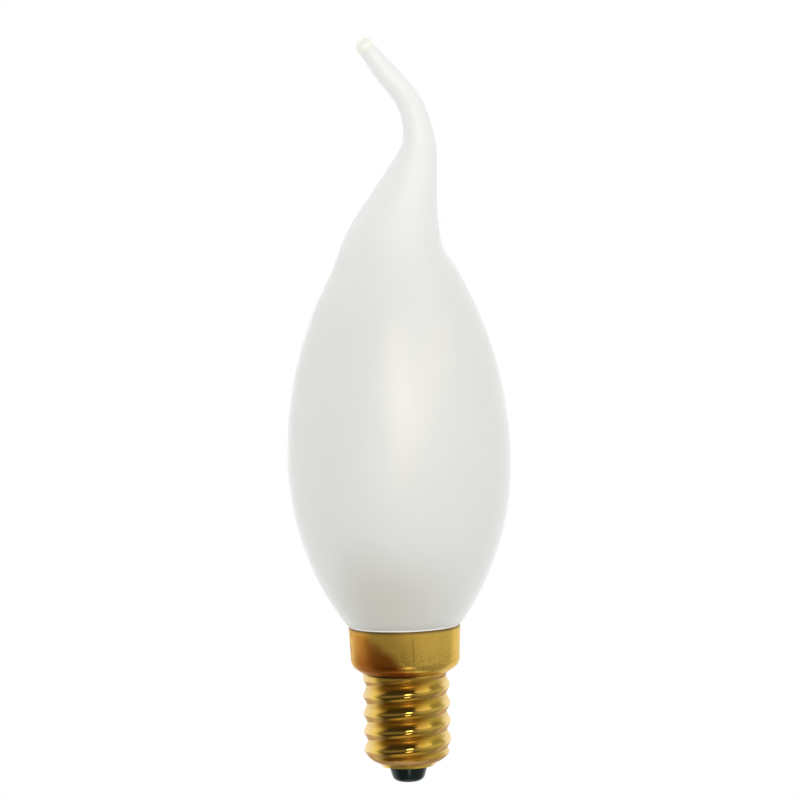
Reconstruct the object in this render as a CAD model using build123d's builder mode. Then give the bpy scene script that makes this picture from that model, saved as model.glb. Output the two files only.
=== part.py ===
from build123d import *
import os
from math import atan, ceil, cos, pi, radians, sin, sqrt, tan

os.makedirs("parts", exist_ok=True)

# A frosted candle bulb with a bent, drawn-out tail on a small brass screw cap.
# The origin is the middle of the centre contact's face, +Z runs up the axis,
# and the tail bends in the XZ plane with its tip towards -X. Millimetres throughout.

# Brass screw cap, rolled from thin sheet
cap_wall = 0.3
thread_pitch = 2.822
thread_crest_diameter = 13.65
thread_depth = 0.6
thread_turn = -150.0
section_points = 12
levels_per_turn = 10
screw_length = 14.6
neck_height = 0.58
neck_sink = 0.15
neck_tilt = 4.9
end_width = 2.5
end_height = 2.8
end_arc_radius = 4.0
lip_width = 1.1
lip_height = 0.4
shoulder_rise = 1.25
skirt_base_diameter = 16.9
skirt_flare = 0.25
skirt_height = 6.0
skirt_corner_radius = 0.8

# Black insulator and the contact pin pressed through it
insulator_diameter = 6.1
insulator_drop = 2.5
insulator_tip_diameter = 4.6
insulator_corner_radius = 0.8
insulator_fit = 0.05
flange_thickness = 1.2
contact_head_diameter = 2.0
contact_head_thickness = 0.4
contact_proud = 0.08
contact_edge_radius = 0.06
pin_diameter = 1.2
pin_fit = 0.02

# Blown glass envelope, set on the rim of the cap
glass_wall = 0.7
neck_gap = 0.15
heel_drop = 0.15
shoulder_overhang = 0.35
shoulder_lift = 0.5
bulb_diameter = 35.0
widest_lift = 26.0
tail_root_diameter = 21.0
tail_root_lift = 54.0
tail_blend = 1.5
ball_bulge = 0.075

# Stations up the bent tail: sideways and up from its root, and the outer diameter there
tail_stations = [
    (0.2, 5.0, 16.2),
    (1.5, 10.2, 12.0),
    (3.15, 15.4, 8.4),
    (4.4, 20.0, 5.7),
    (4.15, 24.0, 4.4),
    (2.65, 28.0, 3.85),
    (-0.35, 31.8, 3.45),
    (-3.15, 35.5, 2.75),
]

# White cement between the neck and the skirt, with a bead over the rim
cement_start = 0.6
bead_setback = 0.1

# Glass stem: flare, tube, pinch, post and exhaust tube
stem_wall = 0.8
stem_fit = 0.2
stem_lift = 0.6
flare_rim = 0.8
flare_height = 7.0
stem_tube_diameter = 6.8
stem_tube_height = 10.5
pinch_blend = 4.0
pinch_height = 7.0
pinch_width = 7.6
pinch_thickness = 3.0
post_diameter = 1.8
post_bead_diameter = 2.6
exhaust_diameter = 3.2
exhaust_bore = 1.8
exhaust_gap = 0.9
blow_hole_diameter = 1.2
blow_hole_lift = 1.0

# Wires, and the two light-giving filaments they hold
lead_diameter = 0.5
lead_spread = 2.15
lead_bend_radius = 1.0
lead_tuck = 0.8
lead_overlap = 2.0
support_diameter = 0.5
support_bend_radius = 0.8
weld_lift = 6.6
support_drop = 5.4
filament_lean = 15.3
strip_width = 0.9
strip_thickness = 0.3
strip_tail = 1.5
strip_end = 1.3
weld_gap = 0.02
coat_start = 1.0
coat_stop = 1.7
coat_cover = 0.5
coat_end_radius = 0.4

# Driver board in the cap and the parts soldered to it
board_thickness = 1.0
board_height = 12.0
board_gap = 0.1
part_lead_diameter = 0.5
part_lead_bend = 0.6
capacitor_diameter = 4.4
capacitor_length = 8.0
capacitor_offset = 2.4
capacitor_gap = 0.35
capacitor_end_radius = 0.4
capacitor_lead_spacing = 2.0
capacitor_lead_drop = 1.2
resistor_diameter = 1.9
resistor_length = 5.0
resistor_offset = 2.6
resistor_lift = 4.0
resistor_end_radius = 0.5
resistor_lead_drop = 2.2
resistor_lead_rise = 1.1
rectifier_width = 4.7
rectifier_height = 3.9
rectifier_thickness = 1.5
rectifier_gap = 0.3
rectifier_leg_pitch = 2.5
chip_width = 3.9
chip_height = 3.4
chip_thickness = 1.4
chip_lift = 0.6
chip_leg_pitch = 0.8
leg_length = 0.7
leg_width = 0.5
leg_thickness = 0.2
shell_wire_offset = 3.6
shell_wire_lift = 10.5

# Radii and heights that follow from the sizes above
crest_radius = thread_crest_diameter / 2
root_radius = crest_radius - thread_depth
bore_radius = root_radius - cap_wall
skirt_base_radius = skirt_base_diameter / 2
skirt_rim_radius = skirt_base_radius + skirt_flare
insulator_radius = insulator_diameter / 2
opening_radius = insulator_radius + insulator_fit
shell_bottom = contact_proud + insulator_drop
lip_top = shell_bottom + lip_height
shell_floor = lip_top + cap_wall
neck_top = shell_bottom + screw_length
skirt_base = neck_top + shoulder_rise
thread_levels = ceil((skirt_base - shell_bottom) / thread_pitch * levels_per_turn) + 1
rim = skirt_base + skirt_height
flange_top = shell_floor + flange_thickness
board_back = lead_spread - lead_diameter / 2
board_front = board_back - board_thickness
board_bottom = flange_top + board_gap
board_top = board_bottom + board_height
stem_bottom = skirt_base + stem_lift
neck_radius = skirt_base_radius - cap_wall - neck_gap
neck_bottom = stem_bottom + flare_rim
shoulder = rim + shoulder_lift
widest = rim + widest_lift
tail_root = rim + tail_root_lift
flare_radius = neck_radius - glass_wall - stem_fit
flare_top = neck_bottom + flare_height
tube_radius = stem_tube_diameter / 2
tube_top = neck_bottom + stem_tube_height
pinch_top = tube_top + pinch_height
exhaust_radius = exhaust_diameter / 2
exhaust_bottom = board_top + exhaust_gap + exhaust_radius
lean_sin = sin(radians(filament_lean))
lean_cos = cos(radians(filament_lean))
strip_face = lead_spread + lead_diameter / 2 + weld_gap
filament_y = strip_face + strip_thickness / 2
side_weld = pinch_top + weld_lift
support_height = tail_root - support_drop
filament_reach = (support_height - side_weld) / lean_cos
side_join = filament_reach * lean_sin
front_weld = support_height - filament_reach


# Outside or, with an inset, inside of the shell. The screw's cross-section swings once round from
# crest to root and back, and turns once per pitch as it rises, which rolls the rounded thread.
# Its lower end is turned in. Above, the thread runs out at a slant into the plain neck, and the
# shoulder and the skirt follow.
def shell_form(inset):
    crest = crest_radius - inset
    neck = crest - neck_sink
    floor = lip_top + inset
    top = neck_top + inset / 2
    base_corner = (skirt_base_radius - inset, skirt_base + inset / 2)
    run_out = Plane((0, 0, neck_top - neck_height + inset)).rotated((0, -neck_tilt, 0))
    with BuildPart() as screw:
        for level in range(thread_levels):
            lead = radians(thread_turn) + 2 * pi * level / levels_per_turn
            ring = []
            for step in range(section_points):
                angle = 2 * pi * step / section_points
                swing = crest - thread_depth * (1 - cos(angle - lead)) / 2
                ring.append((swing * cos(angle), swing * sin(angle)))
            with BuildSketch(Plane.XY.offset(shell_bottom + thread_pitch * level / levels_per_turn)):
                with BuildLine():
                    Spline(*ring, periodic=True)
                make_face()
        loft()
        with BuildSketch(Plane.YZ):
            with BuildLine():
                flat = Line((0, floor), (crest_radius - end_width - inset / 3, floor))
                end_edge = (crest + thread_depth / 2, lip_top + end_height + inset / 3)
                RadiusArc(flat @ 1, end_edge, -(end_arc_radius - inset))
                Polyline(end_edge, (crest + thread_depth / 2, rim), (0, rim), flat @ 0)
            make_face()
        revolve(axis=Axis.Z, mode=Mode.INTERSECT)
        split(bisect_by=run_out, keep=Keep.BOTTOM)
    with BuildPart() as collar:
        with BuildSketch(Plane.YZ) as collar_section:
            with BuildLine():
                Polyline(
                    (0, top - thread_pitch),
                    (neck, top - thread_pitch),
                    (neck, top),
                    base_corner,
                    (skirt_rim_radius - inset, rim),
                    (0, rim),
                    close=True,
                )
            make_face()
            fillet(collar_section.vertices().sort_by_distance(base_corner)[0], skirt_corner_radius - inset)
        revolve(axis=Axis.Z)
        split(bisect_by=run_out, keep=Keep.TOP)
        add(screw.part)
    return collar.part


# Brass shell with a rolled thread, a turned-in lip at the bottom and a plain skirt above
with BuildPart() as cap_shell:
    add(shell_form(0))
    with BuildSketch(Plane.XY.offset(shell_bottom)):
        Circle(opening_radius + lip_width)
    extrude(amount=lip_height)
    add(shell_form(cap_wall), mode=Mode.SUBTRACT)
    with BuildSketch(Plane.XY.offset(shell_bottom)):
        Circle(opening_radius)
    extrude(amount=shell_floor - shell_bottom, mode=Mode.SUBTRACT)
cap_shell.part.label = "cap_shell"
export_step(cap_shell.part, "parts/cap_shell.step")

# Moulded black insulator: a cone below the shell, and a flange that seats on the shell's floor
flange_radius = crest_radius - end_width - cap_wall / 3 - insulator_fit
with BuildPart() as insulator:
    with BuildSketch(Plane.XZ) as insulator_section:
        with BuildLine():
            Polyline(
                (0, contact_proud),
                (insulator_tip_diameter / 2, contact_proud),
                (insulator_radius, shell_bottom),
                (insulator_radius, shell_floor),
                (flange_radius, shell_floor),
                (flange_radius, flange_top),
                (0, flange_top),
                close=True,
            )
        make_face()
        tip_corner = (insulator_tip_diameter / 2, contact_proud)
        fillet(insulator_section.vertices().sort_by_distance(tip_corner)[0], insulator_corner_radius)
    revolve(axis=Axis.Z)
    with BuildSketch():
        Circle(contact_head_diameter / 2 + pin_fit)
    extrude(amount=contact_head_thickness, mode=Mode.SUBTRACT)
    with BuildSketch():
        Circle(pin_diameter / 2 + pin_fit)
    extrude(amount=flange_top, mode=Mode.SUBTRACT)
insulator.part.label = "insulator"
export_step(insulator.part, "parts/insulator.step")

# Centre contact: a flat-headed pin whose shank runs up through the insulator
with BuildPart() as centre_contact:
    with BuildSketch():
        Circle(contact_head_diameter / 2)
    extrude(amount=contact_head_thickness)
    fillet(centre_contact.edges().sort_by(Axis.Z)[0], contact_edge_radius)
    with BuildSketch():
        Circle(pin_diameter / 2)
    extrude(amount=flange_top)
centre_contact.part.label = "centre_contact"
export_step(centre_contact.part, "parts/centre_contact.step")

# The tail's middle line leaves the root upright and ends leaning over to -X
with BuildLine(Plane.XZ) as tail_line:
    Spline(
        (0, tail_root),
        *[(x, tail_root + z) for x, z, diameter in tail_stations],
        tangents=[(0, 1), (-1, 1.2)],
    )
tail_path = tail_line.edge()
belly_sag = (bulb_diameter - tail_root_diameter) / 2
root_slope = tan(2 * atan(belly_sag / (tail_root - widest)))


# Outside or, with an inset, inside of the glass: a turned belly and a lofted tail
def glass_form(inset):
    with BuildPart() as form:
        with BuildSketch(Plane.XZ):
            with BuildLine():
                neck = Polyline(
                    (0, neck_bottom - inset),
                    (neck_radius - inset, neck_bottom - inset),
                    (neck_radius - inset, rim - heel_drop),
                    (skirt_rim_radius + shoulder_overhang - inset, shoulder),
                )
                TangentArc((bulb_diameter / 2 - inset, widest), neck @ 1, tangent=(0, -1))
                root = (tail_root_diameter / 2 - inset, tail_root)
                TangentArc((bulb_diameter / 2 - inset, widest), root, tangent=(0, 1))
                Polyline(root, (0, tail_root), neck @ 0)
            make_face()
        revolve(axis=Axis.Z)
        with BuildSketch(Plane.XY.offset(tail_root)):
            Circle(tail_root_diameter / 2 - inset)
        with BuildSketch(Plane.XY.offset(tail_root + tail_blend)):
            Circle(tail_root_diameter / 2 - inset - tail_blend * root_slope)
        for x, z, diameter in tail_stations:
            station = (x, 0, tail_root + z)
            with BuildSketch(Plane(station, x_dir=(0, 1, 0), z_dir=tail_path.tangent_at(station))):
                Circle(diameter / 2 - inset)
        loft()
    return form.part


# Envelope blown from one tube of glass, drawn out and bent at the top and melted into a ball
tip_x, tip_z, tip_diameter = tail_stations[-1]
ball_radius = tip_diameter / 2 + ball_bulge
ball_step = sqrt(ball_radius**2 - (tip_diameter / 2) ** 2)
ball_centre = Vector(tip_x, 0, tail_root + tip_z) + tail_path.tangent_at(1.0) * ball_step
with BuildPart() as glass_envelope:
    add(glass_form(0))
    with Locations(ball_centre):
        Sphere(ball_radius)
    add(glass_form(glass_wall), mode=Mode.SUBTRACT)
glass_envelope.part.label = "glass_envelope"
export_step(glass_envelope.part, "parts/glass_envelope.step")

# Cement filling the gap between neck and skirt, squeezed out as a bead between rim and heel
cement_inner = neck_radius - glass_wall / 2
cement_bottom = neck_bottom + cement_start
skirt_middle = skirt_base_radius - cap_wall / 2 + skirt_flare * (cement_bottom - skirt_base) / skirt_height
with BuildPart() as capping_cement:
    with BuildSketch(Plane.XZ):
        with BuildLine():
            Polyline(
                (cement_inner, cement_bottom),
                (skirt_middle, cement_bottom),
                (skirt_rim_radius - cap_wall / 2, rim),
                (skirt_rim_radius - bead_setback, rim),
                (skirt_rim_radius - bead_setback, shoulder),
                (cement_inner, rim - heel_drop),
                close=True,
            )
        make_face()
    revolve(axis=Axis.Z)
    add(glass_envelope.part, mode=Mode.SUBTRACT)
    add(cap_shell.part, mode=Mode.SUBTRACT)
capping_cement.part.label = "capping_cement"
export_step(capping_cement.part, "parts/capping_cement.step")


# Round wire bent along a run of points
def bent_wire(points, bend_radius, diameter):
    with BuildPart() as wire:
        with BuildLine() as route:
            FilletPolyline(*points, radius=bend_radius)
        with BuildSketch(route.line ^ 0):
            Circle(diameter / 2)
        sweep(path=route.line)
    return wire.part


# Front lead: from the board's face to the middle of the front filament's weld
with BuildPart() as lead_wire_front:
    add(
        bent_wire(
            [
                (0, board_front, board_top - lead_tuck),
                (0, -lead_spread, board_top - lead_tuck),
                (0, -lead_spread, front_weld),
            ],
            lead_bend_radius,
            lead_diameter,
        )
    )
lead_wire_front.part.label = "lead_wire_front"
export_step(lead_wire_front.part, "parts/lead_wire_front.step")

# Rear lead: straight up from the back of the board to the side filament's weld
with BuildPart() as lead_wire_rear:
    with BuildSketch(Plane((0, lead_spread, board_top - lead_overlap))):
        Circle(lead_diameter / 2)
    extrude(amount=side_weld - board_top + lead_overlap)
lead_wire_rear.part.label = "lead_wire_rear"
export_step(lead_wire_rear.part, "parts/lead_wire_rear.step")

# Top support: one bent wire that joins the upper ends of both filaments through the post's bead
with BuildPart() as top_support_wire:
    add(
        bent_wire(
            [
                (0, -strip_face, support_height),
                (0, 0, support_height),
                (side_join, 0, support_height),
                (side_join, strip_face, support_height),
            ],
            support_bend_radius,
            support_diameter,
        )
    )
top_support_wire.part.label = "top_support_wire"
export_step(top_support_wire.part, "parts/top_support_wire.step")

# Stem: a flare fused to the envelope's neck, a tube, a flat pinch gripping the leads,
# a solid post with a bead, and the sealed exhaust tube with its blow hole
with BuildPart() as glass_stem:
    with BuildSketch(Plane.XZ):
        with BuildLine():
            outer_flare = TangentArc((tube_radius, flare_top), (flare_radius, neck_bottom), tangent=(0, -1))
            inner_flare = TangentArc(
                (tube_radius - stem_wall, flare_top), (flare_radius - stem_wall, stem_bottom), tangent=(0, -1)
            )
            Polyline(outer_flare @ 1, (neck_radius, neck_bottom), (neck_radius, stem_bottom), inner_flare @ 1)
            Polyline(inner_flare @ 0, (tube_radius - stem_wall, tube_top), (tube_radius, tube_top), outer_flare @ 0)
        make_face()
    revolve(axis=Axis.Z)
    with BuildSketch(Plane.XY.offset(exhaust_bottom)):
        Circle(exhaust_radius)
    extrude(amount=tube_top - exhaust_bottom)
    with Locations((0, 0, exhaust_bottom)):
        Sphere(exhaust_radius)
    with BuildSketch(Plane.XY.offset(tube_top)):
        Circle(tube_radius)
    with BuildSketch(Plane.XY.offset(tube_top + pinch_blend)):
        Ellipse(pinch_thickness / 2, pinch_width / 2)
    loft()
    with BuildSketch(Plane.XY.offset(tube_top + pinch_blend)):
        Ellipse(pinch_thickness / 2, pinch_width / 2)
    extrude(amount=pinch_height - pinch_blend)
    with BuildSketch(Plane.XY.offset(pinch_top - pinch_blend / 2)):
        Circle(post_diameter / 2)
    extrude(amount=support_height - pinch_top + pinch_blend / 2)
    with Locations((0, 0, support_height)):
        Sphere(post_bead_diameter / 2)
    with BuildSketch(Plane.XY.offset(exhaust_bottom)):
        Circle(exhaust_bore / 2)
    extrude(amount=tube_top + blow_hole_lift - exhaust_bottom, mode=Mode.SUBTRACT)
    with BuildSketch(Plane.YZ):
        with Locations((0, tube_top + blow_hole_lift)):
            Circle(blow_hole_diameter / 2)
    extrude(amount=tube_radius, mode=Mode.SUBTRACT)
    add(lead_wire_front.part, mode=Mode.SUBTRACT)
    add(lead_wire_rear.part, mode=Mode.SUBTRACT)
    add(top_support_wire.part, mode=Mode.SUBTRACT)
glass_stem.part.label = "glass_stem"
export_step(glass_stem.part, "parts/glass_stem.step")

# Filaments: a thin carrier strip welded to a lead below and to the support above, each in a
# cast phosphor coat. The front one stands upright and the side one leans towards +X.
filament_planes = {
    "front": Plane((0, -filament_y, front_weld)),
    "side": Plane((0, filament_y, side_weld), x_dir=(lean_cos, 0, -lean_sin), z_dir=(lean_sin, 0, lean_cos)),
}
for side, plane in filament_planes.items():
    with BuildPart() as filament_strip:
        with BuildSketch(plane.offset(-strip_tail)):
            Rectangle(strip_width, strip_thickness)
        extrude(amount=strip_tail + filament_reach + strip_end)
    filament_strip.part.label = f"filament_{side}_strip"
    export_step(filament_strip.part, f"parts/filament_{side}_strip.step")

    with BuildPart() as filament_coat:
        with BuildSketch(plane.offset(coat_start)):
            Circle(strip_width / 2 + coat_cover)
            Rectangle(strip_width, strip_thickness, mode=Mode.SUBTRACT)
        extrude(amount=filament_reach - coat_start - coat_stop)
        fillet(filament_coat.edges().filter_by(GeomType.CIRCLE), coat_end_radius)
    filament_coat.part.label = f"filament_{side}_coat"
    export_step(filament_coat.part, f"parts/filament_{side}_coat.step")

# Driver board, as wide as the thread's bore allows
board_half_width = sqrt((bore_radius - board_gap) ** 2 - board_back**2)
with BuildPart() as driver_board:
    with BuildSketch(Plane.XY.offset(board_bottom)):
        with Locations((0, (board_front + board_back) / 2)):
            Rectangle(2 * board_half_width, board_thickness)
    extrude(amount=board_height)
driver_board.part.label = "driver_board"
export_step(driver_board.part, "parts/driver_board.step")

# Smoothing capacitor: a can lying against the board, on two leads bent into it
capacitor_y = board_front - capacitor_diameter / 2
capacitor_bottom = board_top - lead_tuck - lead_diameter / 2 - capacitor_gap - capacitor_length
with BuildPart() as smoothing_capacitor:
    with BuildSketch(Plane((capacitor_offset, capacitor_y, capacitor_bottom))):
        Circle(capacitor_diameter / 2)
    extrude(amount=capacitor_length)
    fillet(smoothing_capacitor.edges().filter_by(GeomType.CIRCLE), capacitor_end_radius)
    for side in (-1, 1):
        lead_x = capacitor_offset + side * capacitor_lead_spacing / 2
        add(
            bent_wire(
                [
                    (lead_x, capacitor_y, capacitor_bottom),
                    (lead_x, capacitor_y, capacitor_bottom - capacitor_lead_drop),
                    (lead_x, board_front, capacitor_bottom - capacitor_lead_drop),
                ],
                part_lead_bend,
                part_lead_diameter,
            )
        )
smoothing_capacitor.part.label = "smoothing_capacitor"
export_step(smoothing_capacitor.part, "parts/smoothing_capacitor.step")

# Fuse resistor: its lower lead is bent over to stand on the contact pin, its upper one meets the board
resistor_y = board_front - resistor_diameter / 2
resistor_bottom = board_bottom + resistor_lift
resistor_top = resistor_bottom + resistor_length
with BuildPart() as fuse_resistor:
    with BuildSketch(Plane((-resistor_offset, resistor_y, resistor_bottom))):
        Circle(resistor_diameter / 2)
    extrude(amount=resistor_length)
    fillet(fuse_resistor.edges().filter_by(GeomType.CIRCLE), resistor_end_radius)
    add(
        bent_wire(
            [
                (-resistor_offset, resistor_y, resistor_bottom),
                (-resistor_offset, resistor_y, resistor_bottom - resistor_lead_drop),
                (0, resistor_y, resistor_bottom - resistor_lead_drop),
                (0, resistor_y, flange_top),
            ],
            part_lead_bend,
            part_lead_diameter,
        )
    )
    add(
        bent_wire(
            [
                (-resistor_offset, resistor_y, resistor_top),
                (-resistor_offset, resistor_y, resistor_top + resistor_lead_rise),
                (-resistor_offset, board_front, resistor_top + resistor_lead_rise),
            ],
            part_lead_bend,
            part_lead_diameter,
        )
    )
fuse_resistor.part.label = "fuse_resistor"
export_step(fuse_resistor.part, "parts/fuse_resistor.step")

# Bridge rectifier on the board's back, with two legs a side
rectifier_middle = board_top - lead_overlap - rectifier_gap - rectifier_height / 2
with BuildPart() as bridge_rectifier:
    with BuildSketch(Plane((0, board_back, rectifier_middle), x_dir=(-1, 0, 0), z_dir=(0, 1, 0))):
        Rectangle(rectifier_width, rectifier_height)
    extrude(amount=rectifier_thickness)
    with BuildSketch(Plane((0, board_back, rectifier_middle), x_dir=(-1, 0, 0), z_dir=(0, 1, 0))):
        with GridLocations(0, rectifier_leg_pitch, 1, 2):
            Rectangle(rectifier_width + 2 * leg_length, leg_width)
    extrude(amount=leg_thickness)
bridge_rectifier.part.label = "bridge_rectifier"
export_step(bridge_rectifier.part, "parts/bridge_rectifier.step")

# Driver chip below it, with four legs a side
chip_middle = board_bottom + chip_lift + chip_height / 2
with BuildPart() as driver_chip:
    with BuildSketch(Plane((0, board_back, chip_middle), x_dir=(-1, 0, 0), z_dir=(0, 1, 0))):
        Rectangle(chip_width, chip_height)
    extrude(amount=chip_thickness)
    with BuildSketch(Plane((0, board_back, chip_middle), x_dir=(-1, 0, 0), z_dir=(0, 1, 0))):
        with GridLocations(0, chip_leg_pitch, 1, 4):
            Rectangle(chip_width + 2 * leg_length, leg_width)
    extrude(amount=leg_thickness)
driver_chip.part.label = "driver_chip"
export_step(driver_chip.part, "parts/driver_chip.step")

# Short wire from the board's back to the inside of the shell
shell_wire_edge = shell_wire_offset + part_lead_diameter / 2
shell_wire_end = sqrt((bore_radius - weld_gap) ** 2 - shell_wire_edge**2)
with BuildPart() as shell_wire:
    shell_wire_start = (-shell_wire_offset, board_back, board_bottom + shell_wire_lift)
    with BuildSketch(Plane(shell_wire_start, x_dir=(-1, 0, 0), z_dir=(0, 1, 0))):
        Circle(part_lead_diameter / 2)
    extrude(amount=shell_wire_end - board_back)
shell_wire.part.label = "shell_wire"
export_step(shell_wire.part, "parts/shell_wire.step")
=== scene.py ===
from math import atan, atan2, cos, hypot, pi, radians, sin, sqrt, tan

import bmesh
import bpy
from mathutils import Matrix, Vector
from mathutils.geometry import interpolate_bezier


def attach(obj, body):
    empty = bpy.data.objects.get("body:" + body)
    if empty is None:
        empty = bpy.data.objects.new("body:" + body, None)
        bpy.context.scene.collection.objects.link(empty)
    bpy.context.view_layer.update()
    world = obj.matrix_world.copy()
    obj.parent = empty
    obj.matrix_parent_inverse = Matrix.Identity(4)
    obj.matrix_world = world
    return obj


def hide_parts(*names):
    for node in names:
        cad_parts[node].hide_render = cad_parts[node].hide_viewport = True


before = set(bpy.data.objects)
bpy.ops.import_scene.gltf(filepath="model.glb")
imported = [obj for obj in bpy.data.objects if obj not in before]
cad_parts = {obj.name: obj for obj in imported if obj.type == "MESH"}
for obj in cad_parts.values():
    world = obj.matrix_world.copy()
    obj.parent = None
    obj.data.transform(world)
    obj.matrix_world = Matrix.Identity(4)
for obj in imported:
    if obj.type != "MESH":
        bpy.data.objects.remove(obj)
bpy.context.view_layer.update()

# Brass shell: sheet drawn into a cup, its rounded thread rolled in from both sides and its foot
# turned in to a lip that grips the insulator. The thread is polished by the rolls, the plain skirt
# is satin and has gone brown in places.
mm = 0.001
cap_wall = 0.3
thread_pitch = 2.822
crest_radius = 6.825
thread_depth = 0.6
thread_turn = radians(-150)
shell_bottom = 2.58
screw_length = 14.6
neck_height = 0.58
neck_sink = 0.15
neck_slope = tan(radians(4.9))
run_out_height = 0.2
end_width = 2.5
end_height = 2.8
end_arc_radius = 4.0
opening_radius = 3.1
lip_width = 1.1
lip_height = 0.4
shoulder_rise = 1.25
skirt_base_radius = 8.45
skirt_rim_radius = 8.7
skirt_height = 6.0
skirt_corner_radius = 0.8
rim_edge_radius = 0.1
lip_top = shell_bottom + lip_height
shell_floor = lip_top + cap_wall
neck_top = shell_bottom + screw_length
skirt_base = neck_top + shoulder_rise
rim = skirt_base + skirt_height
thread_rows = 118
turn_steps = 160
corner_steps = 6
weld_gap = 0.0005
wall_tolerance = 0.01
thread_crease = 38

skirt_gold = (0.82, 0.48, 0.078, 1)
skirt_yellow = (0.86, 0.63, 0.135, 1)
mottle_brown = (0.52, 0.30, 0.045, 1)
stain_brown = (0.44, 0.16, 0.02, 1)
burnt_brown = (0.34, 0.10, 0.01, 1)
seam_brown = (0.18, 0.09, 0.015, 1)
rim_shadow_brown = (0.13, 0.08, 0.05, 1)
shoulder_shade_brown = (0.09, 0.025, 0.002, 1)
nick_glint_yellow = (1.0, 0.76, 0.13, 1)
crest_gold = (0.84, 0.55, 0.075, 1)
groove_gold = (0.72, 0.46, 0.065, 1)
tarnish_brown = (0.31, 0.105, 0.005, 1)
edge_reflection_cream = (0.92, 0.75, 0.42, 1)
flank_shade_brown = (0.38, 0.16, 0.02, 1)
edge_tint = (1.0, 0.92, 0.74, 1)
seam_across = 1.25
stain_slope = 1.15
stain_lift = 0.97
nick_middle = Vector((-0.58, -8.44, skirt_base + 0.74))
nick_radius = 0.41
nick_side = Vector((0.64, 0, 0.77))


class Shade:
    """A socket of a node tree. Arithmetic on it adds Math nodes, and node() adds any other node."""

    def __init__(self, tree, socket=None):
        self.tree = tree
        self.socket = socket

    def node(self, kind, settings=None, inputs=None, out=0):
        made = self.tree.nodes.new(kind)
        for name, value in (settings or {}).items():
            setattr(made, name, value)
        for key, value in (inputs or {}).items():
            if isinstance(value, Shade):
                self.tree.links.new(value.socket, made.inputs[key])
            else:
                made.inputs[key].default_value = value
        return Shade(self.tree, made.outputs[out])

    def math(self, operation, *values):
        return self.node("ShaderNodeMath", {"operation": operation}, dict(enumerate(values)))

    def __add__(self, other):
        return self.math("ADD", self, other)

    def __sub__(self, other):
        return self.math("SUBTRACT", self, other)

    def __mul__(self, other):
        return self.math("MULTIPLY", self, other)

    def __truediv__(self, other):
        return self.math("DIVIDE", self, other)

    def __rsub__(self, other):
        return self.math("SUBTRACT", other, self)

    def __abs__(self):
        return self.math("ABSOLUTE", self)

    __radd__ = __add__
    __rmul__ = __mul__

    def at_least(self, other):
        return self.math("MAXIMUM", self, other)

    def step(self, start, stop):
        """A smooth rise from 0 to 1 between two values."""
        limits = {"Value": self, "From Min": start, "From Max": stop}
        return self.node("ShaderNodeMapRange", {"interpolation_type": "SMOOTHSTEP"}, limits)

    def noise(self, scale, detail=3.0, roughness=0.5):
        inputs = {"Vector": self, "Scale": scale, "Detail": detail, "Roughness": roughness}
        return self.node("ShaderNodeTexNoise", None, inputs)

    def blend(self, first, second):
        """A mix of two colours, with this value as its factor."""
        return self.node("ShaderNodeMix", {"data_type": "RGBA"}, {0: self, 6: first, 7: second}, out=2)

    def bump(self, strength, distance):
        inputs = {"Strength": strength, "Distance": distance, "Height": self}
        return self.node("ShaderNodeBump", None, inputs)

    def vector_math(self, operation, other):
        """A Vector Math node whose result is a single value."""
        return self.node("ShaderNodeVectorMath", {"operation": operation}, {0: self, 1: other}, out="Value")

    def split(self):
        return [self.node("ShaderNodeSeparateXYZ", None, {0: self}, out=axis) for axis in range(3)]

    def in_mm(self):
        """Across, depth and height of a place, in millimetres."""
        return [axis / mm for axis in self.split()]


def new_finish(name):
    finish = bpy.data.materials.new(name)
    finish.use_nodes = True
    tree = finish.node_tree
    surface = tree.nodes["Principled BSDF"]
    place = Shade(tree).node("ShaderNodeTexCoord", out="Object")
    return finish, surface, place


def feed(surface, **sockets):
    for name, value in sockets.items():
        socket = surface.inputs[name.replace("_", " ").title().replace("Ior", "IOR")]
        if isinstance(value, Shade):
            value.tree.links.new(value.socket, socket)
        else:
            socket.default_value = value


def screw_radius(angle, height, inset):
    """Radius of the rolled thread, of its turned-in foot and of the neck that it runs out into."""
    crest = crest_radius - inset
    swing = angle - thread_turn - 2 * pi * (height - shell_bottom) / thread_pitch
    thread = min(crest - thread_depth * (1 - cos(swing)) / 2, foot_radius(height, inset))
    run_out = neck_top - neck_height + inset + neck_slope * crest * cos(angle)
    share = min(max((height - run_out) / run_out_height + 0.5, 0), 1)
    return thread + (crest - neck_sink - thread) * share


def foot_radius(height, inset):
    """Radius of the arc that turns the shell's foot in, or a wide one above it."""
    start = Vector((crest_radius - end_width - inset / 3, lip_top + inset))
    stop = Vector((crest_radius - inset + thread_depth / 2, lip_top + end_height + inset / 3))
    if height >= stop.y:
        return stop.x
    bend = end_arc_radius - inset
    chord = stop - start
    sag = sqrt(bend**2 - (chord.length / 2) ** 2)
    centre = (start + stop) / 2 + Vector((-chord.y, chord.x)).normalized() * sag
    return centre.x + sqrt(max(bend**2 - (height - centre.y) ** 2, 0))


def turned(outline, roundings, steps):
    """A piece turned from an outline of radius and height, with some of its corners rounded."""
    bm = bmesh.new()
    points = [bm.verts.new((radius, 0, height)) for radius, height in outline]
    for first, second in zip(points, points[1:] + points[:1]):
        bm.edges.new((first, second))
    for corner, radius in roundings.items():
        bmesh.ops.bevel(
            bm,
            geom=[points[corner]],
            offset=radius,
            offset_type="OFFSET",
            segments=corner_steps,
            profile=0.5,
            affect="VERTICES",
            material=-1,
        )
    bmesh.ops.spin(
        bm,
        geom=bm.verts[:] + bm.edges[:],
        cent=(0, 0, 0),
        axis=(0, 0, 1),
        dvec=(0, 0, 0),
        angle=2 * pi,
        steps=steps,
        use_merge=True,
    )
    bmesh.ops.remove_doubles(bm, verts=bm.verts, dist=weld_gap)
    bmesh.ops.recalc_face_normals(bm, faces=bm.faces)
    return bm


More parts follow.
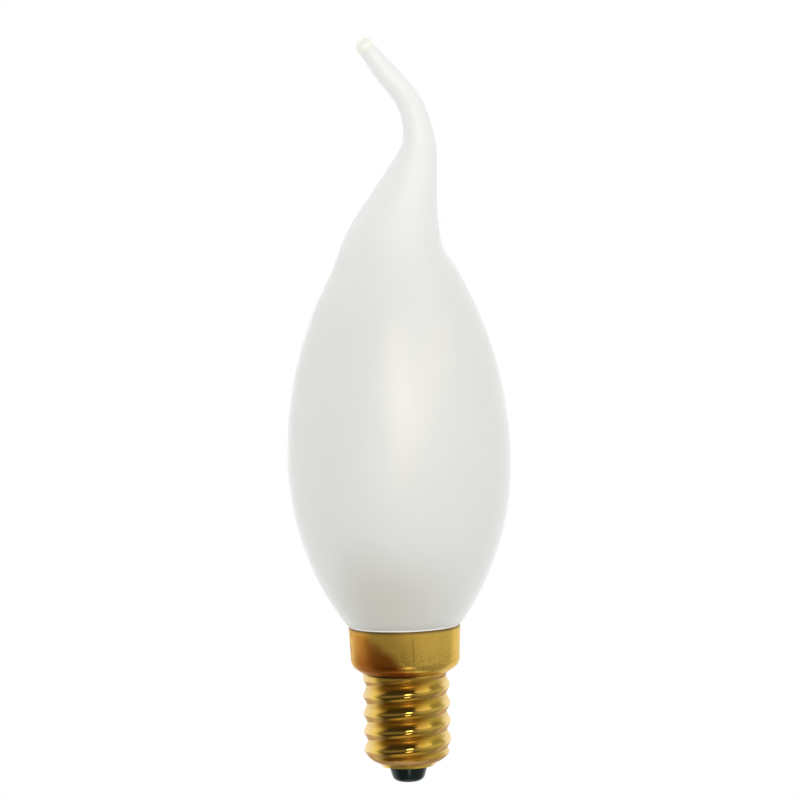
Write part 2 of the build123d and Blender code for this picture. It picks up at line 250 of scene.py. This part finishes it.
def finished_piece(name, bm, finish, node, crease):
    """The piece as an object in metres, smooth up to the crease angle in degrees."""
    bmesh.ops.scale(bm, vec=(mm, mm, mm), verts=bm.verts)
    mesh = bpy.data.meshes.new(name)
    bm.to_mesh(mesh)
    bm.free()
    mesh.shade_smooth()
    mesh.set_sharp_from_angle(angle=radians(crease))
    mesh.materials.append(finish)
    piece = bpy.data.objects.new(name, mesh)
    bpy.context.scene.collection.objects.link(piece)
    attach(piece, "root")
    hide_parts(node)


def skirt_look(place, front, clouds, fine, streaks):
    """Colour of the satin skirt, and its brown stain: a slanted one in front and patches behind."""
    across, _, height = place.in_mm()
    lift = height - skirt_base
    slant = across + stain_slope * (lift - stain_lift) + 4.0 * (clouds - 0.5)
    stain = (1 - slant.step(-2.8, 0.8)) * front * (0.8 + 0.2 * across.step(-7.6, -5.2))
    stain = stain.at_least(clouds.step(0.54, 0.72) * (1 - front))
    burnt = stain * (1 - lift.step(0.37, 4.17))
    seam = abs(across - seam_across + 0.8 * (clouds - 0.5))
    seam = (1 - seam.step(0.05, 0.2)) * front * lift.step(0.77, 1.77) * (1 - lift.step(4.47, 5.17))
    # Painted glint: a bright yellow arc on one side of a small ring, the lit edge of a dent in the skirt.
    ring = abs(place.vector_math("DISTANCE", nick_middle * mm) / mm - nick_radius)
    beyond = place.vector_math("DOT_PRODUCT", nick_side) / mm - nick_side.dot(nick_middle)
    nick_glint = (1 - ring.step(0.06, 0.16)) * beyond.step(0.1, 0.18)
    ripe = across.step(-0.5, 3.5) * (0.35 + 0.65 * streaks.step(0.35, 0.65))
    grain = place.noise(3400, 2.0, 0.6).step(0.42, 0.62)
    mottle = grain * (0.5 - 0.35 * lift.step(1.37, 3.57)) + 0.3 * streaks.step(0.5, 0.65)
    colour = (0.35 * fine + 0.65 * ripe).blend(skirt_gold, skirt_yellow)
    colour = mottle.blend(colour, mottle_brown)
    colour = nick_glint.blend(colour, nick_glint_yellow)
    colour = burnt.blend(stain.blend(colour, stain_brown), burnt_brown)
    colour = (0.35 * seam).blend(colour, seam_brown)
    # Painted shadow: a dark band at the top of the skirt, under the cement bead.
    colour = (0.75 * lift.step(5.47, 5.87)).blend(colour, rim_shadow_brown)
    return colour, stain


def thread_colour(place, clouds, groove, under):
    """Polished brass, tarnished in front; painted pale reflection at its outline, painted shade on lower
    flanks.
    """
    across, depth, height = place.in_mm()
    tarnish = across.step(-5.4, -3.4) * (1 - across.step(1.0, 4.5)) * (1 - depth.step(-4.0, 0.0))
    tarnish = tarnish.at_least(0.6 * clouds.step(0.5, 0.7)) * (0.45 + 0.45 * groove)
    tarnish = tarnish * (0.5 + 0.5 * (height - shell_bottom).step(0.42, 2.22))
    # Painted reflection and shade by the angle of view: paler towards the outline, browner on its lower
    # flanks.
    grazed = place.node("ShaderNodeLayerWeight", None, {"Blend": 0.5}, out="Facing").step(0.28, 0.7)
    colour = groove.step(0.15, 0.95).blend(crest_gold, groove_gold)
    colour = tarnish.blend(colour, tarnish_brown)
    colour = (0.7 * grazed).blend(colour, edge_reflection_cream)
    return (0.9 * grazed * under).blend(colour, flank_shade_brown)


def brass_finish():
    finish, surface, place = new_finish("brass")
    across, depth, height = place.in_mm()
    front = 1 - depth.step(-5.0, -1.5)
    groove = place.node("ShaderNodeAttribute", {"attribute_name": "groove"}, out="Fac")
    upward = place.node("ShaderNodeNewGeometry", out="Normal").split()[2]
    under = (0 - upward).step(0.12, 0.45)
    clouds = place.noise(230, 4.0, 0.55)
    fine = place.noise(1500, 3.0, 0.6)
    stretched = place.node("ShaderNodeMapping", None, {"Vector": place, "Scale": (1.0, 1.0, 0.2)})
    streaks = stretched.noise(420, 2.0)
    satin, stain = skirt_look(place, front, clouds, fine, streaks)
    polished = thread_colour(place, clouds, groove, under)
    skirt = height.step(neck_top - 0.05, neck_top + 0.35)
    plain_neck = height.step(neck_top - 1.2, neck_top - 0.6)
    dulled = 0.26 * groove.step(0.35, 0.9) + 0.16 * plain_neck
    # Painted shade: a dark line in front under the shoulder, where the skirt overhangs the neck.
    shoulder_shade = (1 - abs(height - neck_top).step(0.06, 0.28)) * (1 - across.step(0.3, 2.4)) * front
    feed(
        surface,
        base_color=shoulder_shade.blend(skirt.blend(polished, satin), shoulder_shade_brown),
        metallic=1.0,
        roughness=0.08 + 0.06 * fine + dulled * (1 - skirt) + (0.19 + 0.08 * stain) * skirt,
        specular_tint=edge_tint,
        coat_weight=0.5 * (1 - groove.step(0.1, 0.5)) * (1 - skirt) * (1 - under),
        coat_roughness=0.14,
        normal=(fine + 0.5 * streaks).bump(0.1, 0.00005),
    )
    return finish


inner_top = neck_top + cap_wall / 2
shares = [row / thread_rows for row in range(thread_rows + 1)]
outer_wall = [(crest_radius, lip_top + (neck_top - lip_top) * share) for share in shares]
inner_wall = [(crest_radius - cap_wall, shell_floor + (inner_top - shell_floor) * share) for share in shares]
shell_outline = [
    (opening_radius, shell_bottom),
    (opening_radius + lip_width, shell_bottom),
    (opening_radius + lip_width, lip_top),
    *outer_wall,
    (skirt_base_radius, skirt_base),
    (skirt_rim_radius, rim),
    (skirt_rim_radius - cap_wall, rim),
    (skirt_base_radius - cap_wall, skirt_base + cap_wall / 2),
    *reversed(inner_wall),
    (opening_radius, shell_floor),
]
skirt_corner = shell_outline.index((skirt_base_radius, skirt_base))
skirt_roundings = {
    skirt_corner: skirt_corner_radius,
    skirt_corner + 1: rim_edge_radius,
    skirt_corner + 2: rim_edge_radius,
    skirt_corner + 3: skirt_corner_radius - cap_wall,
}
shell = turned(shell_outline, skirt_roundings, turn_steps)
groove_layer = shell.verts.layers.float.new("groove")
for vert in shell.verts:
    radius = hypot(vert.co.x, vert.co.y)
    inset = cap_wall if abs(radius - crest_radius + cap_wall) < wall_tolerance else 0.0
    if abs(radius - crest_radius + inset) < wall_tolerance:
        screw = screw_radius(atan2(vert.co.y, vert.co.x), vert.co.z, inset)
        vert[groove_layer] = (crest_radius - inset - screw) / thread_depth
        vert.co.xy *= screw / radius
finished_piece("brass_shell", shell, brass_finish(), "cap_shell", thread_crease)

# Insulator: black moulded plastic pressed into the foot of the shell, a blunt cone with rounded
# edges below the lip and a flange that seats on the shell's floor.
insulator_radius = 3.05
insulator_tip_radius = 2.3
insulator_corner_radius = 0.8
insulator_lip_radius = 0.15
contact_proud = 0.08
contact_head_radius = 1.0
contact_head_thickness = 0.4
contact_edge_radius = 0.06
pin_radius = 0.6
pin_fit = 0.02
flange_radius = 4.175
flange_top = shell_floor + 1.2
insulator_steps = 96
round_crease = 60


def insulator_finish():
    finish, surface, place = new_finish("black_insulator")
    flow = place.noise(900, 3.0)
    feed(
        surface,
        base_color=flow.blend((0.003, 0.005, 0.004, 1), (0.009, 0.013, 0.012, 1)),
        roughness=0.12 + 0.12 * flow,
        specular_ior_level=0.25,
        specular_tint=(0.72, 1.0, 0.84, 1),
        normal=flow.bump(0.08, 0.00005),
    )
    return finish


insulator_outline = [
    (contact_head_radius + pin_fit, contact_proud),
    (insulator_tip_radius, contact_proud),
    (insulator_radius, shell_bottom),
    (insulator_radius, shell_floor),
    (flange_radius, shell_floor),
    (flange_radius, flange_top),
    (pin_radius + pin_fit, flange_top),
    (pin_radius + pin_fit, contact_head_thickness),
    (contact_head_radius + pin_fit, contact_head_thickness),
]
insulator_roundings = {0: contact_edge_radius, 1: insulator_corner_radius, 2: insulator_lip_radius}
insulator = turned(insulator_outline, insulator_roundings, insulator_steps)
finished_piece(
    "moulded_insulator", insulator, insulator_finish(), "insulator", round_crease
)

# Centre contact: a tinned metal pin through the middle of the insulator, whose flat head lies just
# proud of the insulator's tip and meets the spring of the lamp holder.
contact_steps = 64


def contact_finish():
    finish, surface, place = new_finish("contact_metal")
    scuffs = place.noise(1400, 4.0, 0.65)
    feed(
        surface,
        base_color=scuffs.blend((0.42, 0.41, 0.39, 1), (0.66, 0.65, 0.62, 1)),
        metallic=1.0,
        roughness=0.28 + 0.25 * scuffs,
        normal=scuffs.bump(0.12, 0.00004),
    )
    return finish


contact_outline = [
    (0, 0),
    (contact_head_radius, 0),
    (contact_head_radius, contact_head_thickness),
    (pin_radius, contact_head_thickness),
    (pin_radius, flange_top),
    (0, flange_top),
]
contact = turned(contact_outline, {1: contact_edge_radius}, contact_steps)
finished_piece("contact_pin", contact, contact_finish(), "centre_contact", round_crease)

# Envelope: one tube of glass blown to a belly, drawn out and bent to a tail at the top and melted
# to a clear ball at its tip. The outside is frosted up to a clean line just below the ball.
glass_wall = 0.7
neck_gap = 0.15
neck_radius = skirt_base_radius - cap_wall - neck_gap
neck_bottom = skirt_base + 1.4
heel = rim - 0.15
heel_rise = 0.2
heel_flare = 0.05
shoulder = rim + 0.5
shoulder_radius = skirt_rim_radius + 0.35
bulb_radius = 17.5
widest = rim + 26.0
tail_root = rim + 54.0
tail_root_radius = 10.5
# Each station of the tail: its place sideways, its height above the root and its diameter.
tail_stations = [
    (0.2, 5.0, 16.2),
    (1.5, 10.2, 12.0),
    (3.15, 15.4, 8.4),
    (4.4, 20.0, 5.7),
    (4.15, 24.0, 4.4),
    (2.65, 28.0, 3.85),
    (-0.35, 31.8, 3.45),
    (-3.15, 35.5, 2.75),
]
tail_end = Vector((-1.0, 1.2))
ball_bulge = 0.075
ball_closing = 0.9999
inner_tip_length = 0.05
inner_tip_share = 0.02
belly_rows = 44
tail_rows = 9
ball_rows = 12
glass_steps = 112

frost_grey = (0.875, 0.885, 0.86, 1)
frost_pale = (0.905, 0.915, 0.89, 1)
frost_drawn = (0.985, 0.985, 0.97, 1)
shade_beige = (0.68, 0.655, 0.55, 1)
pimple_white = (0.98, 0.98, 0.98, 1)
ball_clear = (0.95, 0.97, 0.88, 1)
frost_line_drop = 0.1
frost_line_square = Vector((-0.52, 0, 0.85))
drawn_from = tail_root - 12.0
drawn_to = tail_root + 16.0
shade_middle = Vector((-1.8, -10.5, rim + 4.4))
shade_reach = 15.0


def belly_radius(height):
    """Two arcs that share an upright tangent at the widest height."""
    end_radius, end = (shoulder_radius, shoulder) if height < widest else (tail_root_radius, tail_root)
    drop = bulb_radius - end_radius
    bend = (drop**2 + (end - widest) ** 2) / (2 * drop)
    return bulb_radius - bend + sqrt(bend**2 - (height - widest) ** 2)


def tail_knots():
    """Stations of the tail as sideways, height and radius, with the slope of each."""
    knots = [Vector((0, tail_root, tail_root_radius))]
    knots += [Vector((x, tail_root + z, diameter / 2)) for x, z, diameter in tail_stations]
    root_slope = 2 * atan((bulb_radius - tail_root_radius) / (tail_root - widest))
    root_reach = (knots[1] - knots[0]).length
    end_reach = (knots[-1] - knots[-2]).xy.length
    slopes = [Vector((0, 1, -tan(root_slope))) * root_reach]
    slopes += [(after - before) / 2 for before, after in zip(knots, knots[2:])]
    slopes.append(Vector((*(tail_end.normalized() * end_reach), knots[-1].z - knots[-2].z)))
    return knots, slopes


def glass_rings(inset):
    """Rings up the glass: middle, direction and radius of each."""
    up = Vector((0, 0, 1))
    rings = [(Vector((0, 0, neck_bottom - inset)), up, neck_radius - inset)]
    rings.append((Vector((0, 0, heel - heel_rise)), up, neck_radius - inset))
    rings.append((Vector((0, 0, heel)), up, neck_radius + heel_flare - inset))
    for row in range(belly_rows + 1):
        height = shoulder + (tail_root - shoulder) * row / belly_rows
        rings.append((Vector((0, 0, height)), up, belly_radius(height) - inset))
    knots, slopes = tail_knots()
    line = [knots[0]]
    for first, second, leave, arrive in zip(knots, knots[1:], slopes, slopes[1:]):
        handles = (first + leave / 3, second - arrive / 3)
        line += interpolate_bezier(first, *handles, second, tail_rows)[1:]
    for before, knot, after in zip(line, line[1:], line[2:] + line[-1:]):
        run = after - before
        direction = Vector((run.x, 0, run.y)).normalized()
        rings.append((Vector((knot.x, 0, knot.y)), direction, knot.z - inset))
    return rings


def ring_matrix(ring):
    middle, direction, radius = ring
    turn = Vector((0, 0, 1)).rotation_difference(direction).to_matrix().to_4x4()
    return Matrix.Translation(middle) @ turn @ Matrix.Diagonal((radius, radius, radius, 1))


outer_rings = glass_rings(0)
inner_rings = glass_rings(glass_wall)
tip_middle, tip_direction, tip_radius = outer_rings[-1]
ball_radius = tip_radius + ball_bulge
ball_sink = sqrt(ball_radius**2 - tip_radius**2)
ball_middle = tip_middle + tip_direction * ball_sink
ball_start = -ball_sink / ball_radius
for row in range(1, ball_rows + 1):
    rise = ball_start + (ball_closing - ball_start) * sin(pi / 2 * row / ball_rows)
    ring_middle = ball_middle + tip_direction * ball_radius * rise
    outer_rings.append((ring_middle, tip_direction, ball_radius * sqrt(1 - rise**2)))
inner_middle, inner_direction, inner_radius = inner_rings[-1]
inner_tip = inner_middle + inner_direction * inner_tip_length
inner_end = (inner_tip, inner_direction, inner_radius * inner_tip_share)
chain = [inner_end] + inner_rings[::-1] + outer_rings
glass = bmesh.new()
first_ring = ring_matrix(chain[0])
ring_verts = bmesh.ops.create_circle(glass, segments=glass_steps, radius=1, matrix=first_ring)["verts"]
ring_edges = glass.edges[:]
glass.faces.new(ring_verts)
for before, ring in zip(chain, chain[1:]):
    grown = bmesh.ops.extrude_edge_only(glass, edges=ring_edges)["geom"]
    ring_verts = [item for item in grown if isinstance(item, bmesh.types.BMVert)]
    ring_edges = [item for item in grown if isinstance(item, bmesh.types.BMEdge)]
    ring_edges = [edge for edge in ring_edges if all(vert in ring_verts for vert in edge.verts)]
    move = ring_matrix(ring) @ ring_matrix(before).inverted()
    bmesh.ops.transform(glass, matrix=move, verts=ring_verts)
bmesh.ops.contextual_create(glass, geom=ring_edges)
bmesh.ops.recalc_face_normals(glass, faces=glass.faces)


def frosted_finish():
    finish, surface, place = new_finish("frosted_glass")
    frost_line = tip_middle - tip_direction * frost_line_drop
    beyond = place.vector_math("DOT_PRODUCT", frost_line_square) / mm - frost_line_square.dot(frost_line)
    ball = beyond.step(-0.3, 0.1)
    cloud = place.noise(120, 3.0)
    grain = place.noise(5200, 2.0)
    drawn = place.in_mm()[2].step(drawn_from, drawn_to)
    # Painted shade: a beige patch low at the front left, where the cap and stem darken the glass from
    # inside.
    shade = place.vector_math("DISTANCE", shade_middle * mm) / mm + 3.0 * (cloud - 0.5)
    shade = 1 - shade.step(0.0, shade_reach)
    pimple = place.node("ShaderNodeTexVoronoi", None, {"Vector": place, "Scale": 170.0})
    frost = cloud.blend(frost_grey, frost_pale)
    frost = drawn.blend(frost, frost_drawn)
    frost = (0.7 * shade).blend(frost, shade_beige)
    frost = (1 - pimple.step(0.02, 0.035)).blend(frost, pimple_white)
    feed(
        surface,
        base_color=ball.blend(frost, ball_clear),
        roughness=0.46 - 0.4 * ball,
        transmission_weight=0.4,
        ior=1.45,
        coat_weight=1.0,
        coat_ior=1.7,
        coat_roughness=0.52,
        sheen_weight=1.0,
        sheen_roughness=0.3,
        normal=(grain * (1 - ball)).bump(0.08, 0.00005),
    )
    return finish


finished_piece(
    "frosted_envelope", glass, frosted_finish(), "glass_envelope", round_crease
)

# Capping cement: white paste that fills the gap between the glass neck and the skirt, squeezed out
# to a smooth bead over the rim when the cap was set.
cement_fit = 0.01
cement_bottom = neck_bottom + 0.6
bead_radius = skirt_rim_radius - 0.1
bead_height = 0.25
bead_root_width = 0.3
bead_root_rise = 0.2
bead_root_drop = 0.15
bead_lower_edge_radius = 0.06
bead_upper_edge_radius = 0.12
cement_steps = 128


def cement_finish():
    finish, surface, place = new_finish("white_cement")
    grit = place.noise(1800, 4.0, 0.6)
    feed(
        surface,
        base_color=grit.blend((0.84, 0.83, 0.80, 1), (0.93, 0.92, 0.90, 1)),
        roughness=0.25 + 0.2 * grit,
        normal=grit.bump(0.1, 0.00006),
    )
    return finish


cement_outline = [
    (neck_radius + cement_fit, cement_bottom),
    (skirt_base_radius - cap_wall - cement_fit, cement_bottom),
    (skirt_rim_radius - cap_wall - cement_fit, rim),
    (bead_radius, rim + cement_fit),
    (bead_radius, rim + bead_height),
    (neck_radius + bead_root_width, heel + bead_root_rise),
    (neck_radius + cement_fit, heel - bead_root_drop),
]
bead_roundings = {3: bead_lower_edge_radius, 4: bead_upper_edge_radius}
cement = turned(cement_outline, bead_roundings, cement_steps)
finished_piece("cement_bead", cement, cement_finish(), "capping_cement", round_crease)


# Stem: clear drawn glass tube, flared below where it meets the neck of the envelope and pinched flat
# on the lead wires above, with a post and an exhaust tube fused to it. Its CAD solid is kept.
def stem_finish():
    finish, surface, place = new_finish("clear_glass")
    strain = place.noise(240, 3.0)
    feed(
        surface,
        base_color=strain.blend((0.92, 0.95, 0.93, 1), (0.97, 0.98, 0.97, 1)),
        roughness=0.03 + 0.06 * strain,
        transmission_weight=1.0,
        ior=1.5,
    )
    return finish


def dress(node, finish):
    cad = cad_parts[node]
    cad.data.materials.clear()
    cad.data.materials.append(finish)


dress("glass_stem", stem_finish())


# Wires: drawn nickel-plated wire for the two leads through the pinch and for the upper support in
# the bead of the post, and tinned wire from the board to the shell. Their CAD solids are kept.
def wire_finish():
    finish, surface, place = new_finish("wire_metal")
    drawn = place.noise(2400, 2.0)
    feed(
        surface,
        base_color=drawn.blend((0.52, 0.50, 0.47, 1), (0.70, 0.68, 0.64, 1)),
        metallic=1.0,
        roughness=0.22 + 0.2 * drawn,
    )
    return finish


wire_metal = wire_finish()
for wire in ("lead_wire_front", "lead_wire_rear", "top_support_wire", "shell_wire"):
    dress(wire, wire_metal)

# Filaments: two thin carrier strips welded to the wires, each in a cast coat of warm yellow silicone.
# The coats carry a weak painted glow, more in their upper halves, so their streaks show through the frost.
glow_dim_height = 44.0
glow_bright_height = 66.0


def strip_finish():
    finish, surface, place = new_finish("carrier_strip")
    rolled = place.noise(3000, 2.0)
    feed(
        surface,
        base_color=rolled.blend((0.60, 0.59, 0.56, 1), (0.78, 0.77, 0.74, 1)),
        metallic=1.0,
        roughness=0.25 + 0.15 * rolled,
    )
    return finish


def coat_finish():
    finish, surface, place = new_finish("phosphor")
    settle = place.noise(900, 3.0)
    upper = place.in_mm()[2].step(glow_dim_height, glow_bright_height)
    feed(
        surface,
        base_color=settle.blend((0.93, 0.66, 0.24, 1), (0.98, 0.78, 0.38, 1)),
        roughness=0.4 + 0.15 * settle,
        # Painted glow: the unlit coats emit a weak warm light, brighter towards their upper ends.
        emission_color=upper.blend((0.45, 0.27, 0.12, 1), (1.0, 0.65, 0.31, 1)),
        emission_strength=1.3,
    )
    return finish


carrier_strip = strip_finish()
phosphor = coat_finish()
for side in ("front", "side"):
    dress(f"filament_{side}_strip", carrier_strip)
    dress(f"filament_{side}_coat", phosphor)


# Driver: a green lacquered board inside the cap, with a sleeved can, a dipped fuse resistor, a
# rectifier and a chip soldered to it. One moulded finish in five colours dresses the CAD solids.
def moulded_finish(name, dark, pale, gloss):
    finish, surface, place = new_finish(name)
    flow = place.noise(1600, 3.0)
    feed(
        surface,
        base_color=flow.blend((*dark, 1), (*pale, 1)),
        roughness=gloss + 0.15 * flow,
        normal=flow.bump(0.08, 0.00004),
    )
    return finish


driver_colours = {
    "driver_board": ("board", (0.05, 0.20, 0.08), (0.09, 0.30, 0.13), 0.35),
    "smoothing_capacitor": ("capacitor_sleeve", (0.03, 0.035, 0.06), (0.06, 0.07, 0.10), 0.25),
    "fuse_resistor": ("resistor_paint", (0.24, 0.38, 0.48), (0.32, 0.47, 0.57), 0.3),
    "bridge_rectifier": ("rectifier_plastic", (0.025, 0.025, 0.025), (0.05, 0.05, 0.05), 0.5),
    "driver_chip": ("chip_plastic", (0.03, 0.03, 0.03), (0.055, 0.055, 0.055), 0.5),
}
for node, look in driver_colours.items():
    dress(node, moulded_finish(*look))

# Studio: a pale floor under the bulb that fades out into a white surround, a soft lamp in front
# slightly above the bulb and a weak one in front below it. Glossy rays meet a dimmer room there,
# with a window high at the right, which gives the polished brass its dark and bright bands.
floor_drop = 0.08
floor_radius = 0.12
floor_steps = 96
fade_from = 0.081
fade_to = 0.1
lamp_aim = Vector((0, 0, 0.05))

floor = bmesh.new()
floor_place = Matrix.Translation((0, 0, -floor_drop))
bmesh.ops.create_circle(floor, cap_ends=True, segments=floor_steps, radius=floor_radius, matrix=floor_place)
floor_mesh = bpy.data.meshes.new("floor")
floor.to_mesh(floor_mesh)
floor.free()
floor_piece = bpy.data.objects.new("floor", floor_mesh)
bpy.context.scene.collection.objects.link(floor_piece)
floor_finish, floor_surface, floor_spot = new_finish("pale_floor")
away = floor_spot.vector_math("DISTANCE", (0, 0, 0))
paper = floor_spot.noise(60).blend((0.90, 0.90, 0.90, 1), (0.93, 0.93, 0.93, 1))
feed(floor_surface, base_color=paper, roughness=0.8, alpha=1 - away.step(fade_from, fade_to))
floor_mesh.materials.append(floor_finish)

world = bpy.data.worlds.new("studio")
world.use_nodes = True
bpy.context.scene.world = world
sky = world.node_tree.nodes["Background"]
rays = Shade(world.node_tree)
seen = rays.node("ShaderNodeLightPath", out="Is Camera Ray")
seen = seen.at_least(rays.node("ShaderNodeLightPath", out="Is Transmission Ray"))
glossy = rays.node("ShaderNodeLightPath", out="Is Glossy Ray")
aside, behind, above = rays.node("ShaderNodeTexCoord", out="Generated").split()
dim_room = 0.29 + 0.27 * aside.step(0.05, 0.65) - 0.22 * abs(above).step(0.15, 0.6)
backdrop = (behind - 0.25 * aside).step(-0.15, 0.45) * (1 - 0.85 * (0 - above).step(0.55, 0.95))
window = (0.58 * aside - 0.48 * behind + 0.66 * above).step(0.9, 0.97)
room = dim_room.at_least(backdrop).at_least(window)
ambient = 0.96 + 0.13 * above + 0.12 * aside.step(0.1, 1.0)
level = seen.at_least(glossy * room + (1 - glossy) * ambient)
sky.inputs["Color"].default_value = (1, 1, 1, 1)
world.node_tree.links.new(level.socket, sky.inputs["Strength"])


def soft_lamp(name, azimuth, elevation, distance, size, watts):
    """A round lamp seen from the bulb at an azimuth to the right of the camera and an elevation."""
    light = bpy.data.lights.new(name, "AREA")
    light.shape = "DISK"
    light.size = size
    light.energy = watts
    lamp = bpy.data.objects.new(name, light)
    turn = radians(azimuth - 90)
    lift = radians(elevation)
    away = Vector((cos(lift) * cos(turn), cos(lift) * sin(turn), sin(lift)))
    lamp.location = lamp_aim + distance * away
    lamp.rotation_euler = (lamp.location - lamp_aim).to_track_quat("Z", "Y").to_euler()
    bpy.context.scene.collection.objects.link(lamp)


soft_lamp("front_lamp", azimuth=3, elevation=18, distance=0.9, size=0.28, watts=1.6)
soft_lamp("low_lamp", azimuth=6, elevation=-44, distance=0.5, size=0.12, watts=0.15)

# Camera: a long lens a little above the bulb's middle, turned by the small lean that the bulb has
# in the picture. Its focal length is written in pixels of the square picture.
image_pixels = 800
focal_pixels = 2765.3
sensor_width = 36
near_limit = 0.01
view_distance = 0.4291
view_height = 0.07875
aim_height = 0.05959
view_offset = 0.00035
lean = radians(1.68)
lens = bpy.data.cameras.new("camera")
lens.sensor_width = sensor_width
lens.lens = focal_pixels * sensor_width / image_pixels
lens.clip_start = near_limit
camera = bpy.data.objects.new("camera", lens)
camera.location = (view_offset, -view_distance, view_height)
view_line = Vector((0, view_distance, aim_height - view_height))
roll = Matrix.Rotation(-lean, 3, "Z").to_quaternion()
camera.rotation_mode = "QUATERNION"
camera.rotation_quaternion = view_line.to_track_quat("-Z", "Y") @ roll
bpy.context.scene.collection.objects.link(camera)
bpy.context.scene.camera = camera
bpy.context.scene.view_settings.view_transform = "Standard"
